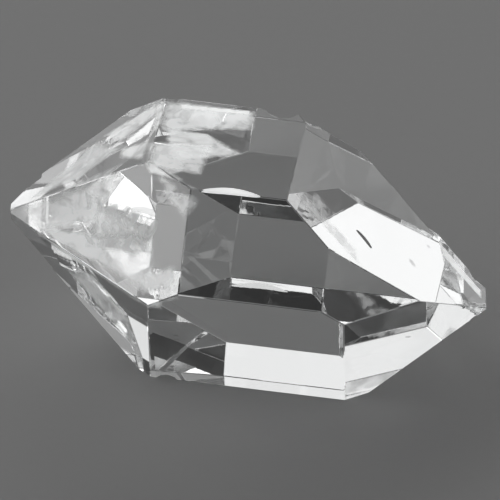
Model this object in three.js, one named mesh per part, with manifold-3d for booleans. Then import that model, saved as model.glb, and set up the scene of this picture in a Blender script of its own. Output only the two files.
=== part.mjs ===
// Herkimer diamond: one loose, water-clear quartz crystal that grew with a point at both ends.
//
// Quartz grows as a six-sided prism. Each side face carries an end face above it at either point,
// and every end face leans the same way, because the angles belong to the mineral. What differs
// from crystal to crystal is only how far out each face stands, so the shape is given here as one
// distance for each face. Millimetres, +Z up. The crystal's long axis lies along X. It rests on its
// flat bottom side face, and the origin is under the middle of the crystal on that face.

import * as THREE from 'three';
import * as BufferGeometryUtils from 'three/addons/utils/BufferGeometryUtils.js';
import Module from 'manifold-3d';

const wasm = await Module();
wasm.setup();

// ---- driving dimensions -------------------------------------------------------------------------

// Each side face by where it looks: its turn around the long axis from straight ahead (-Y), its
// distance out from that axis, and the distances of its two end faces from the middle of the axis.
// No end face formed over the lower back side at the right: its neighbours grew past it and met.
const SIDES = {
  top: { turn: 90, out: 5.83, left: 7.75, right: 5.69 },
  upperFront: { turn: 30, out: 7.25, left: 7.43, right: 8.20 },
  lowerFront: { turn: -30, out: 5.81, left: 7.23, right: 7.73 },
  bottom: { turn: -90, out: 5.83, left: 7.66, right: 8.40 },
  lowerBack: { turn: -150, out: 8.97, left: 7.85 },
  upperBack: { turn: 150, out: 5.81, left: 8.82, right: 7.17 },
};

const END_FACE_LEAN = 51.79;     // degrees from the long axis to an end face's normal, fixed in quartz

// A narrow face cuts the corner between the top, the upper back side and the right point. It looks
// out midway between those two sides, and its lean is fixed in quartz too.
const CORNER_FACE = { turn: 120, lean: 65.5, right: 6.57 };

// Both tips are a little blunt. Each is cut off by a plane, given by the way it looks and by its
// distance from the middle of the axis.
const LEFT_TIP = { looks: [-1, -0.1, -0.12], reach: 11.75 };
const RIGHT_TIP = { looks: [0.99, 0.13, 0.06], reach: 11.07 };

// Growth ledges: part of a face stands back by the depth. A ledge ends at its riser, a plane given
// by the way it looks and by its distance from the middle of the axis. At the left, the small end
// pyramid stands back on its lower and upper back faces. At the right, the upper half of the upper
// back face does, out to a low step near the tip.
const LEFT_LOWER_LEDGE = { depth: 0.14, looks: [0.93, -0.32, 0.18], riser: -9.2 };
const LEFT_BACK_LEDGE = { depth: 0.32, looks: [1, 0.05, -0.1], riser: -10.75 };
const RIGHT_BACK_LEDGE = { depth: 0.26, looks: [0, 0, -1], riser: -0.55 };

// Chips in the edges, each with its place along the long axis and the half length, half width and
// height of the shell it left, and how deep that cuts into the edge.
const TOP_DIP = { x: 0.5, halfLength: 1.0, halfWidth: 1.4, height: 1.0, deep: 0.5 };
const TOP_SPALL = { x: 2.1, halfLength: 0.9, halfWidth: 1.5, height: 1.2, deep: 0.75 };
const TOP_CORNER_WEAR = { x: -4.9, halfLength: 1.2, halfWidth: 0.8, height: 0.6, deep: 0.1 };
const LOWER_LEFT_NICK = { x: -3.5, halfLength: 0.6, halfWidth: 0.8, height: 0.5, deep: 0.26 };
const UPPER_TIP_CHIP = { x: 10.55, halfLength: 0.75, halfWidth: 0.6, height: 0.5, deep: 0.14 };
const LOWER_TIP_CHIP = { x: 10.75, halfLength: 0.4, halfWidth: 0.45, height: 0.4, deep: 0.08 };
const SCOOP_COLUMNS = 14;
const SCOOP_ROWS = 9;

const WORKING_SIZE = 40;         // cutting solids are bounded by a cube of twice this
const ON_FACE = 1e-6;            // a point this near a plane lies on it
const SAME_POINT = 1e-5;         // points this near each other are one
const PARALLEL = 1e-9;           // three planes whose normals span less than this share no point

// ---- faces --------------------------------------------------------------------------------------

// A unit vector that points out from the long axis at a turn around it.
function around(turn) {
  const angle = THREE.MathUtils.degToRad(turn);
  return new THREE.Vector3(0, -Math.cos(angle), Math.sin(angle));
}

// The plane of a face: everything of the crystal lies on its negative side.
function face(normal, distance) {
  return new THREE.Plane(normal.clone().normalize(), -distance);
}

// A plane given by the way it looks and its distance from the middle of the axis.
function facing(looks, distance) {
  return face(new THREE.Vector3(...looks), distance);
}

function sideFace(side) {
  return face(around(side.turn), side.out);
}

// A face at one point of the crystal, which leans over the given turn.
function pointFace(turn, leanDegrees, end, distance) {
  const lean = THREE.MathUtils.degToRad(leanDegrees);
  const normal = around(turn).multiplyScalar(Math.sin(lean));
  normal.x = end === 'left' ? -Math.cos(lean) : Math.cos(lean);
  return face(normal, distance);
}

// The end faces of one point, by the name of the side face that each sits over.
function endFaces(end) {
  const grown = Object.entries(SIDES).filter(([, side]) => end in side);
  const named = grown.map(([name, side]) => [name, pointFace(side.turn, END_FACE_LEAN, end, side[end])]);
  return Object.fromEntries(named);
}

// The same plane moved into the crystal.
function movedIn(plane, depth) {
  return new THREE.Plane(plane.normal.clone(), plane.constant + depth);
}

// The plane that keeps what the given plane leaves out.
function otherSide(plane) {
  return plane.clone().negate();
}

// The one point that three planes share, or null where two of them are parallel.
function meetingPoint(a, b, c) {
  const bc = new THREE.Vector3().crossVectors(b.normal, c.normal);
  const ca = new THREE.Vector3().crossVectors(c.normal, a.normal);
  const ab = new THREE.Vector3().crossVectors(a.normal, b.normal);
  const volume = a.normal.dot(bc);
  if (Math.abs(volume) < PARALLEL) return null;
  const point = bc.multiplyScalar(-a.constant);
  point.addScaledVector(ca, -b.constant);
  point.addScaledVector(ab, -c.constant);
  return point.divideScalar(volume);
}

// ---- solids -------------------------------------------------------------------------------------

// The corners of one face of a convex solid, in order around the face's outward normal.
function faceCorners(planes, index) {
  const corners = [];
  for (let j = 0; j < planes.length; j += 1) {
    for (let k = j + 1; k < planes.length; k += 1) {
      if (j === index || k === index) continue;
      const point = meetingPoint(planes[index], planes[j], planes[k]);
      if (!point) continue;
      if (planes.some((plane) => plane.distanceToPoint(point) > ON_FACE)) continue;
      if (corners.some((other) => other.distanceTo(point) < SAME_POINT)) continue;
      corners.push(point);
    }
  }
  if (corners.length < 3) return [];

  const middle = new THREE.Vector3();
  corners.forEach((corner) => middle.addScaledVector(corner, 1 / corners.length));
  const across = corners[0].clone().sub(middle).normalize();
  const along = new THREE.Vector3().crossVectors(planes[index].normal, across);
  const turnOf = (corner) => {
    const arm = corner.clone().sub(middle);
    return Math.atan2(arm.dot(along), arm.dot(across));
  };
  return corners.sort((a, b) => turnOf(a) - turnOf(b));
}

// The closed solid that lies behind all the given planes.
function solidBehind(planes) {
  const positions = [];
  planes.forEach((plane, index) => {
    const corners = faceCorners(planes, index);
    for (let i = 1; i + 1 < corners.length; i += 1) {
      for (const corner of [corners[0], corners[i], corners[i + 1]]) {
        positions.push(corner.x, corner.y, corner.z);
      }
    }
  });
  const geometry = new THREE.BufferGeometry();
  geometry.setAttribute('position', new THREE.Float32BufferAttribute(positions, 3));
  return asSolid(geometry);
}

function asSolid(geometry) {
  const bare = geometry.clone();
  bare.deleteAttribute('normal');
  bare.deleteAttribute('uv');
  const merged = BufferGeometryUtils.mergeVertices(bare, SAME_POINT);
  const vertProperties = new Float32Array(merged.attributes.position.array);
  const triVerts = new Uint32Array(merged.index.array);
  return new wasm.Manifold(new wasm.Mesh({ numProp: 3, vertProperties, triVerts }));
}

function asGeometry(solid) {
  const mesh = solid.getMesh();
  const geometry = new THREE.BufferGeometry();
  geometry.setAttribute('position', new THREE.Float32BufferAttribute(mesh.vertProperties, 3));
  geometry.setIndex(new THREE.Uint32BufferAttribute(mesh.triVerts, 1));
  return geometry;
}

// Six planes far outside the crystal, which close a cutting solid.
function farPlanes() {
  const directions = [[1, 0, 0], [-1, 0, 0], [0, 1, 0], [0, -1, 0], [0, 0, 1], [0, 0, -1]];
  return directions.map((direction) => facing(direction, WORKING_SIZE));
}

// ---- growth features ----------------------------------------------------------------------------

// The layer that is missing over part of a face: as thick as the ledge is high, and ending at the
// riser, whose negative side is where the layer is missing.
function missingLayer(plane, ledge) {
  const floor = otherSide(movedIn(plane, ledge.depth));
  return solidBehind([floor, facing(ledge.looks, ledge.riser), ...farPlanes()]);
}

// The shell that leaves a chip in the edge between two faces.
function scoop(faceA, faceB, chip) {
  const slice = facing([1, 0, 0], chip.x);
  const seat = meetingPoint(faceA, faceB, slice);
  const along = new THREE.Vector3().crossVectors(faceA.normal, faceB.normal).normalize();
  const outward = faceA.normal.clone().add(faceB.normal).normalize();
  const across = new THREE.Vector3().crossVectors(outward, along);

  const shell = new THREE.SphereGeometry(1, SCOOP_COLUMNS, SCOOP_ROWS);
  shell.scale(chip.halfLength, chip.halfWidth, chip.height);
  const place = new THREE.Matrix4().makeBasis(along, across, outward);
  place.setPosition(seat.addScaledVector(outward, chip.height - chip.deep));
  shell.applyMatrix4(place);
  return asSolid(shell);
}

// ---- the crystal --------------------------------------------------------------------------------

function crystalSolid() {
  const left = endFaces('left');
  const right = endFaces('right');
  const top = sideFace(SIDES.top);
  const lowerFront = sideFace(SIDES.lowerFront);
  const bottom = sideFace(SIDES.bottom);
  const upperBack = sideFace(SIDES.upperBack);

  let crystal = solidBehind([
    ...Object.values(SIDES).map(sideFace),
    ...Object.values(left),
    ...Object.values(right),
    pointFace(CORNER_FACE.turn, CORNER_FACE.lean, 'right', CORNER_FACE.right),
    facing(LEFT_TIP.looks, LEFT_TIP.reach),
    facing(RIGHT_TIP.looks, RIGHT_TIP.reach),
  ]);

  const cuts = [
    missingLayer(left.bottom, LEFT_LOWER_LEDGE),
    missingLayer(left.upperBack, LEFT_BACK_LEDGE),
    missingLayer(right.upperBack, RIGHT_BACK_LEDGE),
    scoop(top, upperBack, TOP_DIP),
    scoop(top, upperBack, TOP_SPALL),
    scoop(top, upperBack, TOP_CORNER_WEAR),
    scoop(lowerFront, bottom, LOWER_LEFT_NICK),
    scoop(right.top, right.upperBack, UPPER_TIP_CHIP),
    scoop(right.lowerFront, right.bottom, LOWER_TIP_CHIP),
  ];
  for (const cut of cuts) {
    crystal = crystal.subtract(cut);
  }
  return crystal;
}

// ---- the object ---------------------------------------------------------------------------------

const quartz = new THREE.MeshStandardMaterial({
  name: 'clear_quartz',
  color: 0xf4f6f7,
  roughness: 0.03,
  metalness: 0,
  transparent: true,
  opacity: 0.35,
  flatShading: true,
});

const geometry = asGeometry(crystalSolid());
geometry.computeBoundingBox();
const box = geometry.boundingBox;
geometry.translate(-(box.min.x + box.max.x) / 2, -(box.min.y + box.max.y) / 2, -box.min.z);
geometry.computeVertexNormals();

const crystal = new THREE.Mesh(geometry, quartz);
crystal.name = 'crystal';

const object = new THREE.Group();
object.name = 'herkimer_diamond';
object.add(crystal);

export default object;
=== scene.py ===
# %% [markdown]
# # A clear quartz crystal with two points
#
# A Herkimer diamond is not a diamond but quartz: one loose crystal that grew freely in a small
# cavity, so it has a point at both ends and faces as flat and bright as glass. It is a good first
# subject for learning transparent things, because nearly everything that the eye sees in it is
# something else: the floor and the lamps, bent and mirrored by its faces.
#
# So the work is in three parts: true faces in plain clear quartz, the few things that grew inside
# it, and lamps placed where the faces can find them.

# %% Load the model that everything is fitted to
import math

import bmesh
import bpy
from mathutils import Matrix, Vector, noise


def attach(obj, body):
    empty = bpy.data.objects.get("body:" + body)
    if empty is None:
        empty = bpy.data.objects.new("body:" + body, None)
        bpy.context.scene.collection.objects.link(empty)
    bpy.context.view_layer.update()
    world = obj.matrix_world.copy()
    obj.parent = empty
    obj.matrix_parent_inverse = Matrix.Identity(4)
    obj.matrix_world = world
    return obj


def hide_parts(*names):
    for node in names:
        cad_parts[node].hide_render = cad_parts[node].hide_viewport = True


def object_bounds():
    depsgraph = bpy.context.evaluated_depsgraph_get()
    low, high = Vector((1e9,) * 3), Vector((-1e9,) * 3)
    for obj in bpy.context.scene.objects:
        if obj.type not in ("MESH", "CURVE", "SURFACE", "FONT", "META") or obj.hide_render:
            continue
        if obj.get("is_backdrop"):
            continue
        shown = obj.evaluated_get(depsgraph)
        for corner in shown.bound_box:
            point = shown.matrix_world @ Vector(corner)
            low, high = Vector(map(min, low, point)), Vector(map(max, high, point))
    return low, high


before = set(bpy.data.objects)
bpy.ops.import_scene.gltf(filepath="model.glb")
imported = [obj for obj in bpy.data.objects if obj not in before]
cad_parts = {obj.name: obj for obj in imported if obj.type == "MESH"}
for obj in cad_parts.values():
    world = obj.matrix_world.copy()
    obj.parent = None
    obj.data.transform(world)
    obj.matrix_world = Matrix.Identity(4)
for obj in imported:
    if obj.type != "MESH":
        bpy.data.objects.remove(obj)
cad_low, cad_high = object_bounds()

MM = 0.001
size_mm = (cad_high - cad_low) / MM
print(f"crystal box: {size_mm.x:.1f} x {size_mm.y:.1f} x {size_mm.z:.1f} mm")

# %% [markdown]
# ## Three small helpers
#
# Colours are written as the hex values of a paint chart. Blender works in linear light, so one
# function turns them. The second adds a shader node, sets its values and joins its inputs, and the
# third starts an empty material.

# %% Helpers for colour and shader nodes
def linear(hex_colour):
    channels = []
    for start in (1, 3, 5):
        value = int(hex_colour[start:start + 2], 16) / 255
        channels.append(value / 12.92 if value <= 0.04045 else ((value + 0.055) / 1.055) ** 2.4)
    return (*channels, 1.0)


def add_node(tree, kind, values=None, links=None, **settings):
    node = tree.nodes.new(kind)
    for name, value in settings.items():
        setattr(node, name, value)
    for name, value in (values or {}).items():
        node.inputs[name].default_value = value
    for name, output in (links or {}).items():
        tree.links.new(output, node.inputs[name])
    return node


def new_material(name):
    material = bpy.data.materials.new(name)
    material.use_nodes = True
    material.node_tree.nodes.clear()
    return material, material.node_tree


print(f"a mid grey, #808080, is {linear('#808080')[0]:.3f} in linear light")

# %% [markdown]
# ## The crystal's faces
#
# The faces are exact planes in the model, and they have to stay exact here: a face that leans by
# half a degree already mirrors a different part of the room. So the mesh is built again from the
# bare corner points, flat pieces of one face are joined, and nothing is smoothed.
#
# A real crystal's long edges are very slightly dulled. That thin rounded line is what catches the
# lamps between two faces, so it is worth a bevel a few hundredths of a millimetre wide. Chips and
# other small edges stay as sharp as they broke.

# %% Crystal mesh
EDGE_WIDTH = 0.045 * MM
LONG_EDGE = 0.9 * MM                # shorter edges are chips and growth ledges
CLEAR_CORNER = math.radians(12)
SAME_FACE = math.radians(0.4)
SAME_POINT = 0.0005 * MM


def crystal_mesh(source):
    mesh = bmesh.new()
    verts = [mesh.verts.new(vertex.co) for vertex in source.data.vertices]
    for polygon in source.data.polygons:
        mesh.faces.new([verts[index] for index in polygon.vertices])
    bmesh.ops.remove_doubles(mesh, verts=mesh.verts, dist=SAME_POINT)
    bmesh.ops.dissolve_limit(mesh, angle_limit=SAME_FACE, verts=mesh.verts, edges=mesh.edges)
    long_edges = [
        edge for edge in mesh.edges
        if edge.calc_length() > LONG_EDGE and edge.calc_face_angle(0) > CLEAR_CORNER
    ]
    bmesh.ops.bevel(
        mesh, geom=long_edges, offset=EDGE_WIDTH, segments=2, profile=0.5,
        affect="EDGES", clamp_overlap=False,
    )
    data = bpy.data.meshes.new("quartz_crystal")
    mesh.to_mesh(data)
    mesh.free()
    data.shade_flat()
    print(f"crystal: {len(data.polygons)} faces, {len(long_edges)} dulled edges")
    return data


quartz_mesh = crystal_mesh(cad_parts["crystal"])

# %% [markdown]
# The crystal and all that lies inside it are one body. They move together and count as one part,
# so the same helper puts each finished mesh into the scene.

# %% Helper that adds a piece
def add_piece(name, data, material):
    piece = bpy.data.objects.new(name, data)
    data.materials.append(material)
    bpy.context.scene.collection.objects.link(piece)
    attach(piece, "root")
    print(f"added {name}: {len(data.polygons)} faces")
    return piece


# %% [markdown]
# ## Clear quartz
#
# Rock crystal is silicon dioxide with hardly anything in it: colourless, and with a refractive
# index of 1.544 to 1.553. It needs no colour. What makes it quartz and not window glass is the way
# the faces grew. The sides carry faint lines across the long axis, where two kinds of face took
# turns, and every face swells a little. Both are far too low to be seen by themselves, but they
# make the mirrored edges inside the crystal waver, which the eye takes for something grown.
#
# The alternative would be to model that relief. A bump costs no faces and keeps the planes true.

# %% Material: clear quartz with grown faces
QUARTZ_IOR = 1.548
SWELL_SPAN = 2.4 * MM        # from one low swelling of a face to the next
SWELL_HEIGHT = 0.002 * MM
STRIA_SPAN = 0.35 * MM       # drawn about three times as coarse as on a real crystal
STRIA_HEIGHT = 0.00012 * MM
WAVE_LENGTH = 0.314          # the wave texture repeats after this many units at a scale of 1
SIDE_FACE_LEAN = 0.1         # a side face looks along the long axis by less than this


def clear_quartz():
    material, tree = new_material("clear_quartz_grown_faces")
    place = add_node(tree, "ShaderNodeTexCoord")
    swelling = add_node(tree, "ShaderNodeTexNoise", {"Scale": 1 / SWELL_SPAN, "Detail": 1.0},
                        {"Vector": place.outputs["Object"]})
    striae = add_node(tree, "ShaderNodeTexWave",
                      {"Scale": WAVE_LENGTH / STRIA_SPAN, "Distortion": 3.0, "Detail": 2.0},
                      {"Vector": place.outputs["Object"]}, bands_direction="X")
    facing = add_node(tree, "ShaderNodeSeparateXYZ", links={"Vector": place.outputs["Normal"]})
    lean = add_node(tree, "ShaderNodeMath", links={0: facing.outputs["X"]}, operation="ABSOLUTE")
    side_face = add_node(tree, "ShaderNodeMath", {1: SIDE_FACE_LEAN}, {0: lean.outputs["Value"]},
                         operation="LESS_THAN")
    side_striae = add_node(tree, "ShaderNodeMath",
                           links={0: striae.outputs["Fac"], 1: side_face.outputs["Value"]},
                           operation="MULTIPLY")
    low_relief = add_node(tree, "ShaderNodeBump", {"Distance": SWELL_HEIGHT},
                          {"Height": swelling.outputs["Fac"]})
    fine_relief = add_node(tree, "ShaderNodeBump", {"Distance": STRIA_HEIGHT},
                           {"Height": side_striae.outputs["Value"],
                            "Normal": low_relief.outputs["Normal"]})
    shader = add_node(tree, "ShaderNodeBsdfPrincipled", {
        "Base Color": linear("#FDFEFE"),
        "Roughness": 0.0,
        "IOR": QUARTZ_IOR,
        "Transmission Weight": 1.0,
    }, {"Normal": fine_relief.outputs["Normal"]})
    add_node(tree, "ShaderNodeOutputMaterial", links={"Surface": shader.outputs["BSDF"]})
    print(f"{material.name}: refractive index {QUARTZ_IOR}, a line every {STRIA_SPAN / MM:.2f} mm")
    return material


crystal = add_piece("quartz_crystal", quartz_mesh, clear_quartz())
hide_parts("crystal")

# %% [markdown]
# ## Healed cracks
#
# A quartz crystal often cracks while it grows, and hot water heals the crack again. What stays
# behind is a thin, slightly curved film of tiny bubbles, like a wisp of smoke frozen in the glass.
# The left point is full of them. A volume of fog would be the other way to make them, but it is
# slow to render and has no edge.
#
# So each one is a real sheet: a grid between four corners, bent by smooth noise, which keeps for
# each point how far it lies inside the border. The finish uses that to let the sheet fray out.

# %% Mesh of a healed crack
SHEET_CELLS = 36
BEND = 0.18 * MM
BEND_SPAN = 2.6 * MM


def sheet_mesh(name, corners_mm):
    a, b, c, d = (Vector(corner) * MM for corner in corners_mm)
    across = ((b - a).length + (c - d).length) / 2
    along = ((d - a).length + (c - b).length) / 2
    normal = (c - a).cross(d - b).normalized()
    mesh = bmesh.new()
    inside = mesh.verts.layers.float.new("inside_mm")
    rows = []
    for j in range(SHEET_CELLS + 1):
        v = j / SHEET_CELLS
        row = []
        for i in range(SHEET_CELLS + 1):
            u = i / SHEET_CELLS
            point = a.lerp(b, u).lerp(d.lerp(c, u), v)
            vert = mesh.verts.new(point + normal * BEND * noise.noise(point / BEND_SPAN))
            vert[inside] = min(min(u, 1 - u) * across, min(v, 1 - v) * along) / MM
            row.append(vert)
        rows.append(row)
    for low, high in zip(rows, rows[1:]):
        for i in range(SHEET_CELLS):
            mesh.faces.new((low[i], low[i + 1], high[i + 1], high[i]))
    data = bpy.data.meshes.new(name)
    mesh.to_mesh(data)
    mesh.free()
    data.shade_smooth()
    print(f"{name}: {across / MM:.1f} x {along / MM:.1f} mm")
    return data


print(f"each sheet: {SHEET_CELLS} x {SHEET_CELLS} cells, bent by {BEND / MM:.2f} mm at most")

# %% [markdown]
# The film itself is white because it is full of bubbles, each a little mirror. It is thick in
# some wisps and thin in others, and near the border it breaks up into ragged tongues. One noise
# draws the wisps and a finer one pushes the border in and out. The bubbles pass light on to each
# other, which a thin sheet can't do, so a little glow stands in for it.

# %% Material: film of tiny bubbles
WISP_SIZE = 2.0          # in lengths of a ragged tongue
WISPS_THIN = 0.35        # most values of the wisp noise lie between these two
WISPS_THICK = 0.6
BORDER_CLEAR = -0.475    # the border fades in between these two, in lengths of a tongue
BORDER_FULL = 0.15


def bubble_film(name, thinnest, thickest, ragged_mm, glow, thin_below=WISPS_THIN):
    material, tree = new_material(name)
    place = add_node(tree, "ShaderNodeTexCoord")
    inside = add_node(tree, "ShaderNodeAttribute", attribute_name="inside_mm")
    ragged = add_node(tree, "ShaderNodeTexNoise",
                      {"Scale": 1 / (ragged_mm * MM), "Detail": 4.0, "Roughness": 0.65},
                      {"Vector": place.outputs["Object"]})
    wisps = add_node(tree, "ShaderNodeTexNoise",
                     {"Scale": 1 / (WISP_SIZE * ragged_mm * MM), "Detail": 3.0, "Roughness": 0.55,
                      "Distortion": 1.2},
                     {"Vector": place.outputs["Object"]})
    inward = add_node(tree, "ShaderNodeMath", {1: -ragged_mm}, {0: ragged.outputs["Fac"]},
                      operation="MULTIPLY")
    reach = add_node(tree, "ShaderNodeMath",
                     links={0: inside.outputs["Fac"], 1: inward.outputs["Value"]},
                     operation="ADD")
    border = add_node(tree, "ShaderNodeMapRange",
                      {"From Min": BORDER_CLEAR * ragged_mm, "From Max": BORDER_FULL * ragged_mm},
                      {"Value": reach.outputs["Value"]})
    thickness = add_node(tree, "ShaderNodeMapRange",
                         {"From Min": thin_below, "From Max": WISPS_THICK,
                          "To Min": thinnest, "To Max": thickest},
                         {"Value": wisps.outputs["Fac"]})
    cover = add_node(tree, "ShaderNodeMath",
                     links={0: border.outputs["Result"], 1: thickness.outputs["Result"]},
                     operation="MULTIPLY")
    shader = add_node(tree, "ShaderNodeBsdfPrincipled", {
        "Base Color": linear("#F2F4F4"),
        "Roughness": 0.6,
        "Emission Color": linear("#FFFFFF"),
        "Emission Strength": glow,
    }, {"Alpha": cover.outputs["Value"]})
    add_node(tree, "ShaderNodeOutputMaterial", links={"Surface": shader.outputs["BSDF"]})
    print(f"{name}: covers {thinnest:.0%} to {thickest:.0%}, tongues of {ragged_mm} mm")
    return material


dense_film = bubble_film("healed_crack_dense_bubbles", 0.4, 1.0, ragged_mm=0.8, glow=0.2)
bright_film = bubble_film("healed_crack_bright_bubbles", 0.5, 1.0, ragged_mm=0.6, glow=0.4)
veil_film = bubble_film("healed_crack_broken_veil", 0.0, 1.0, ragged_mm=0.5, glow=0.0, thin_below=0.42)
thin_film = bubble_film("healed_crack_thin_bubbles", 0.0, 0.55, ragged_mm=0.45, glow=0.3)
fine_film = bubble_film("healed_crack_fine_bubbles", 0.7, 1.0, ragged_mm=0.3, glow=0.6)

# %% [markdown]
# Each crack is given by its four corners, in millimetres. They all lie at least a tenth of a
# millimetre under the faces, because a crack that reached the surface would have stayed open. Most
# run through the left point, one of them a broken veil under its upper front face. A few small
# ones start at corners and edges, where a crystal is knocked first.

# %% Place the healed cracks
LEFT_POINT_CRACKS = {
    "crack_tip_upper": ((-11.1, -0.3, 6.4), (-5.9, -1.4, 9.7), (-6.4, -1.7, 7.0), (-9.7, -1.0, 5.6)),
    "crack_tip_middle": ((-7.1, -0.7, 7.2), (-5.9, -1.5, 7.8), (-3.6, -3.6, 7.7), (-6.7, -1.7, 6.1)),
    "crack_tip_lower": ((-9.9, -1.0, 5.9), (-3.7, -4.3, 8.1), (-3.2, -6.3, 5.7), (-8.6, -1.7, 5.6)),
    "crack_front_corner": ((-4.3, -5.2, 6.9), (-2.5, -6.2, 7.9), (-2.4, -6.8, 6.8), (-4.2, -6.2, 5.8)),
    "crack_tip_back": ((-10.9, -0.3, 6.6), (-7.7, 2.6, 8.8), (-6.2, 0.2, 9.8), (-8.0, -0.9, 8.5)),
    "crack_low_left": ((-8.4, -1.6, 4.5), (-6.8, -3.7, 5.7), (-4.8, -4.5, 3.8), (-4.3, -3.3, 1.1)),
}
TOP_CRACKS = {
    "crack_top_back": ((-5.0, 3.4, 10.5), (-0.4, 3.1, 10.75), (-0.2, 1.3, 10.7), (-4.6, 0.1, 10.7)),
    "crack_top_front": ((-4.7, 0.8, 10.5), (-2.4, 0.5, 10.6), (-0.3, -1.0, 10.6), (-3.8, -2.8, 10.7)),
    "crack_top_left": ((-5.1, -0.9, 10.9), (-2.0, -0.6, 10.8), (-2.1, -3.7, 10.85), (-4.6, -3.5, 10.95)),
    "crack_tip_ridge": ((-7.6, 2.7, 8.9), (-5.0, 3.1, 10.9), (-4.8, 2.0, 10.9), (-6.4, 0.6, 9.8)),
    "crack_left_shoulder": ((-6.3, -0.9, 9.9), (-6.3, 0.1, 9.8), (-4.7, -0.5, 10.9), (-4.8, -2.9, 11.0)),
}
FRONT_CRACKS = {
    "crack_tip_veil": ((-7.75, -1.2, 8.45), (-3.45, -4.4, 9.25), (-4.2, -5.1, 7.3), (-7.35, -3.0, 6.2)),
}
CORNER_CRACKS = {
    "crack_top_corner": ((-4.5, -3.2, 10.7), (-3.8, -3.5, 11.1), (-1.8, -5.2, 10.9), (-2.5, -5.6, 9.9)),
    "crack_right_corner": ((2.1, -4.3, 11.35), (2.6, -3.2, 10.8), (5.5, -4.6, 8.7), (5.9, -5.75, 8.4)),
}
EDGE_CRACKS = {
    "crack_top_rim": ((-4.2, 2.65, 11.35), (-0.6, 2.7, 11.35), (-0.6, 2.2, 11.35), (-4, 2.1, 11.35)),
    "crack_right_tip": ((8.7, 1.75, 6.1), (11.2, 0.65, 4.15), (11.25, -0.05, 4.1), (9.2, 0.75, 5.7)),
}

for cracks, film in (
    (LEFT_POINT_CRACKS, dense_film), (TOP_CRACKS, bright_film), (FRONT_CRACKS, veil_film),
    (CORNER_CRACKS, thin_film), (EDGE_CRACKS, fine_film),
):
    for name, corners in cracks.items():
        add_piece(name, sheet_mesh(name, corners), film)

# %% [markdown]
# ## One open flake and a few dark slivers
#
# Two more things mark this crystal. Just under the top front edge sits a crack that never healed:
# a thin crescent of air that shines like silver. And near the surface of the right end face float
# thin flakes of black, hardened oil, which is the usual guest in a Herkimer diamond.
#
# All of them are leaf thin, so each is drawn as a flat outline: a row of cross lines along a bowed
# middle line, widest in the middle and pointed at both ends.

# %% Mesh of a thin leaf
LEAF_STEPS = 16
TIP_FULLNESS = 0.02      # the two tips keep a little width, so that no face is without area


def leaf_mesh(name, start_mm, end_mm, facing, width_mm, bow_mm=0.0, bluntness=0.4):
    start, end = Vector(start_mm) * MM, Vector(end_mm) * MM
    sideways = Vector(facing).cross(end - start).normalized()
    mesh = bmesh.new()
    rows = []
    for step in range(LEAF_STEPS + 1):
        along = step / LEAF_STEPS
        fullness = math.sin(math.pi * along)
        middle = start.lerp(end, along) + sideways * bow_mm * MM * fullness
        half = sideways * width_mm * MM / 2 * max(fullness, TIP_FULLNESS) ** bluntness
        rows.append((mesh.verts.new(middle - half), mesh.verts.new(middle + half)))
    for (low_a, high_a), (low_b, high_b) in zip(rows, rows[1:]):
        mesh.faces.new((low_a, low_b, high_b, high_a))
    data = bpy.data.meshes.new(name)
    mesh.to_mesh(data)
    mesh.free()
    print(f"{name}: {(end - start).length / MM:.2f} x {width_mm:.2f} mm")
    return data


print(f"each leaf: {LEAF_STEPS + 1} cross lines")

# %% [markdown]
# Air in quartz turns nearly all light back, so the open flake is a bright pale surface with a little
# grain, and a painted glow stands in for the light that it mirrors. The oil is dull black and
# slightly uneven, and its thin specks let some light by.

# %% Materials: trapped air with a painted glow, and hardened oil
def mottled(name, dark, light, span, roughness, cover=1.0, glow=0.0):
    material, tree = new_material(name)
    place = add_node(tree, "ShaderNodeTexCoord")
    grain = add_node(tree, "ShaderNodeTexNoise", {"Scale": 1 / span, "Detail": 3.0},
                     {"Vector": place.outputs["Object"]})
    colour = add_node(tree, "ShaderNodeMix", {"A": linear(dark), "B": linear(light)},
                      {"Factor": grain.outputs["Fac"]}, data_type="RGBA")
    shader = add_node(tree, "ShaderNodeBsdfPrincipled", {
        "Roughness": roughness,
        "Alpha": cover,
        "Emission Color": linear("#FFFFFF"),
        "Emission Strength": glow,
    }, {"Base Color": colour.outputs["Result"]})
    add_node(tree, "ShaderNodeOutputMaterial", links={"Surface": shader.outputs["BSDF"]})
    print(f"{name}: grain of {span / MM:.2f} mm")
    return material


# the flake's glow is painted light, standing in for the light that the air mirrors back
air_flake_painted_glow = mottled("open_crack_air_painted_glow", "#E8ECEC", "#FFFFFF", 0.3 * MM, 0.35, glow=0.55)
oil_film = mottled("hardened_oil_film", "#060606", "#1C1B1A", 0.05 * MM, 0.5)
oil_dots = mottled("hardened_oil_specks", "#101010", "#3A3938", 0.05 * MM, 0.5, cover=0.35)

# %% [markdown]
# Each leaf is given by its two tips, the direction that it faces and its width, all in
# millimetres. The flake and the sliver also have a bow and their own bluntness of the tips. The
# flake lies closest to the surface of all, less than a tenth of a millimetre under it.

# %% Place the flake and the slivers
UPPER_END_FACE = (0.62, 0, 0.79)          # looks the way of the right end face over the top side
LOWER_END_FACE = (0.62, -0.68, -0.39)     # and of the one over the lower front side
TOP_EDGE = (0, -0.25, 0.97)               # a quarter of the way from the top side to the upper front

OPEN_FLAKES = {
    "open_flake": ((-1.94, -5.38, 11.48), (0.88, -5.36, 11.54), TOP_EDGE, 0.42, 0.2, 0.7),
}
OIL_SLIVERS = {
    "oil_sliver": ((5.26, -3.03, 8.90), (6.08, -3.48, 8.26), UPPER_END_FACE, 0.3, 0.07, 0.25),
}
OIL_SPECKS = {
    "oil_speck_middle": ((7.83, -1.81, 6.96), (8.13, -2.09, 6.75), UPPER_END_FACE, 0.3),
    "oil_speck_upper": ((8.44, 0.42, 6.51), (8.58, 0.50, 6.4), UPPER_END_FACE, 0.16),
    "oil_speck_lower": ((8.0, -3.35, 3.78), (8.25, -3.05, 3.63), LOWER_END_FACE, 0.12),
}

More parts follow.
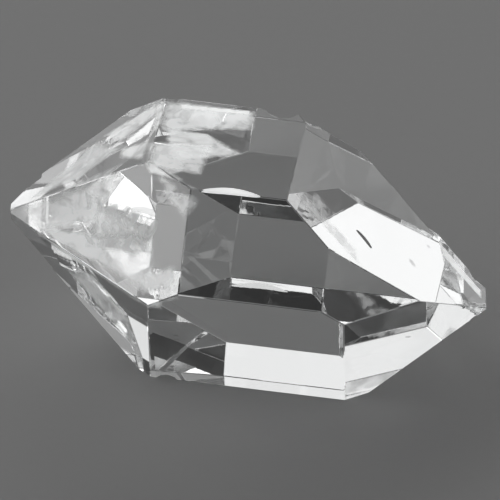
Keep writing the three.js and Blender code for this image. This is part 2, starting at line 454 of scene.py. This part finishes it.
for leaves, finish in ((OPEN_FLAKES, air_flake_painted_glow), (OIL_SLIVERS, oil_film), (OIL_SPECKS, oil_dots)):
    for name, outline in leaves.items():
        add_piece(name, leaf_mesh(name, *outline), finish)

# %% [markdown]
# ## Floor
#
# The floor is pale matt card with a very fine grain. It is also most of what shows through the
# windows of the crystal, so it has to be even: any pattern in it would appear there many times.

# %% Floor
FLOOR_HALF = 900 * MM
FLOOR_GRAIN = 0.5 * MM
BELOW_CRYSTAL = 0.01 * MM


def floor_material():
    material, tree = new_material("pale_matt_card")
    place = add_node(tree, "ShaderNodeTexCoord")
    grain = add_node(tree, "ShaderNodeTexNoise", {"Scale": 1 / FLOOR_GRAIN, "Detail": 2.0},
                     {"Vector": place.outputs["Object"]})
    colour = add_node(tree, "ShaderNodeMix", {"A": linear("#9B9B9B"), "B": linear("#9D9D9D")},
                      {"Factor": grain.outputs["Fac"]}, data_type="RGBA")
    shader = add_node(tree, "ShaderNodeBsdfPrincipled", {"Roughness": 0.6},
                      {"Base Color": colour.outputs["Result"]})
    add_node(tree, "ShaderNodeOutputMaterial", links={"Surface": shader.outputs["BSDF"]})
    return material


floor_shape = bmesh.new()
floor_corners = [(-1, -1), (1, -1), (1, 1), (-1, 1)]
floor_verts = [floor_shape.verts.new((x * FLOOR_HALF, y * FLOOR_HALF, 0)) for x, y in floor_corners]
floor_shape.faces.new(floor_verts)
floor_data = bpy.data.meshes.new("floor")
floor_shape.to_mesh(floor_data)
floor_shape.free()
floor = bpy.data.objects.new("floor", floor_data)
floor.location.z = cad_low.z - BELOW_CRYSTAL
floor.data.materials.append(floor_material())
bpy.context.scene.collection.objects.link(floor)
floor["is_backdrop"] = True
print(f"floor: {2 * FLOOR_HALF / MM:.0f} mm square, {BELOW_CRYSTAL / MM:.2f} mm under the crystal")

# %% [markdown]
# ## Lamps
#
# A transparent body is lit by what it mirrors, not by what falls on it. Each face is a flat
# mirror, from outside and from inside, so every lamp is given by the direction and the angles that
# it fills as the crystal sees it. The large one on the left fills most windows of the left point,
# and the one behind fills the right end face. A weak one on the right keeps that point from going
# dark, and the low one puts a thin sheen on one slanting face.
#
# They stand well away, because a lamp close to the floor would leave a bright patch on it. The
# energy grows with a lamp's area, so its brightness in the mirror doesn't depend on its size.

# %% Lamps
LAMP_DISTANCE = 800 * MM
LAMP_AIM = Vector((0, 0, 5 * MM))     # about the middle of the crystal


def direction(azimuth, elevation):
    a, e = math.radians(azimuth), math.radians(elevation)
    return Vector((math.sin(a) * math.cos(e), -math.cos(a) * math.cos(e), math.sin(e)))


def softbox(name, azimuth, elevation, wide, high, brightness):
    """A flat lamp that spans the given angles, in degrees, as seen from the crystal."""
    lamp = bpy.data.lights.new(name, "AREA")
    lamp.shape = "RECTANGLE"
    lamp.size = 2 * LAMP_DISTANCE * math.tan(math.radians(wide / 2))
    lamp.size_y = 2 * LAMP_DISTANCE * math.tan(math.radians(high / 2))
    lamp.energy = brightness * math.pi * lamp.size * lamp.size_y
    thing = bpy.data.objects.new(name, lamp)
    away = direction(azimuth, elevation)
    thing.location = LAMP_AIM + away * LAMP_DISTANCE
    thing.rotation_euler = away.to_track_quat("Z", "Y").to_euler()
    thing.visible_camera = False
    bpy.context.scene.collection.objects.link(thing)
    print(f"{name}: {lamp.size / MM:.0f} x {lamp.size_y / MM:.0f} mm")


softbox("lamp_left", -93, 29, 92, 58, 1.0)
softbox("lamp_back", -177, 20, 96, 48, 0.92)
softbox("lamp_right", 74, 32, 50, 56, 0.35)
softbox("lamp_low_left", -82, 4, 24, 16, 2.6)

# %% [markdown]
# ## The dark room around
#
# What no lamp fills stays dark, and those dark faces are as much a part of clear quartz as the
# bright ones. A room without any light would turn them black like holes, so the walls give a
# little grey.

# %% Room light
ROOM_STRENGTH = 0.12

world = bpy.data.worlds.new("studio")
bpy.context.scene.world = world
world.use_nodes = True
background = world.node_tree.nodes["Background"]
background.inputs["Color"].default_value = linear("#8C8C8C")
background.inputs["Strength"].default_value = ROOM_STRENGTH
print(f"room: {ROOM_STRENGTH * linear('#8C8C8C')[0]:.3f} of a white wall's light")

# %% [markdown]
# ## Camera
#
# The crystal is seen from in front and about thirty degrees above, with a little roll, so that its
# long axis slopes down to the right. A long lens from half a metre away keeps the parallel edges
# parallel. The view is written as two directions, one back to the camera and one up, because these
# two say exactly which face is seen at which slant.

# %% Camera
CAMERA_DISTANCE = 519 * MM
FRAME_WIDTH = 24.0 * MM         # what the view spans at the crystal
SENSOR_WIDTH = 36               # cameras and their lenses are given in millimetres
AIM = (cad_low + cad_high) / 2 + Vector((0.10, -0.57, -0.07)) * MM
VIEW_BACK = Vector((0.0835, -0.8566, 0.5091)).normalized()
VIEW_UP = Vector((-0.1185, 0.4988, 0.8586))

camera_data = bpy.data.cameras.new("camera")
camera_data.sensor_width = SENSOR_WIDTH
camera_data.lens = SENSOR_WIDTH * CAMERA_DISTANCE / FRAME_WIDTH
camera_data.clip_start = 10 * MM
camera_data.clip_end = 5000 * MM
camera = bpy.data.objects.new("camera", camera_data)
right = VIEW_UP.cross(VIEW_BACK).normalized()
up = VIEW_BACK.cross(right)
camera.matrix_world = Matrix((
    (right.x, up.x, VIEW_BACK.x, 0),
    (right.y, up.y, VIEW_BACK.y, 0),
    (right.z, up.z, VIEW_BACK.z, 0),
    (0, 0, 0, 1),
))
camera.location = AIM + VIEW_BACK * CAMERA_DISTANCE
bpy.context.scene.collection.objects.link(camera)
bpy.context.scene.camera = camera
print(f"camera: {camera_data.lens:.0f} mm lens at {CAMERA_DISTANCE / MM:.0f} mm")

# %% [markdown]
# ## Light paths and tone
#
# A ray that enters the crystal is mirrored from face to face, often more than ten times, before it
# finds a way out. Each ray that is given up too early leaves a black patch, so the limits on
# bounces are set far above that. The plain tone curve keeps the lamps' reflections white and the
# floor as grey as it is.

# %% Light paths and tone
MIRROR_BOUNCES = 64

scene = bpy.context.scene
scene.cycles.max_bounces = MIRROR_BOUNCES
scene.cycles.transmission_bounces = MIRROR_BOUNCES
scene.cycles.glossy_bounces = MIRROR_BOUNCES
scene.cycles.transparent_max_bounces = 16
scene.cycles.diffuse_bounces = 4
scene.cycles.use_denoising = True
scene.view_settings.view_transform = "Standard"
print(f"bounces: {scene.cycles.max_bounces}, of them diffuse: {scene.cycles.diffuse_bounces}")

# %% [markdown]
# ## The finished size
#
# The finished crystal has to fill the same box as the model it is fitted to, so its box is printed,
# to set beside the model's box from the start.

# %% Finish
new_low, new_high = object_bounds()
new_size_mm = (new_high - new_low) / MM
print(f"finished box: {new_size_mm.x:.1f} x {new_size_mm.y:.1f} x {new_size_mm.z:.1f} mm")
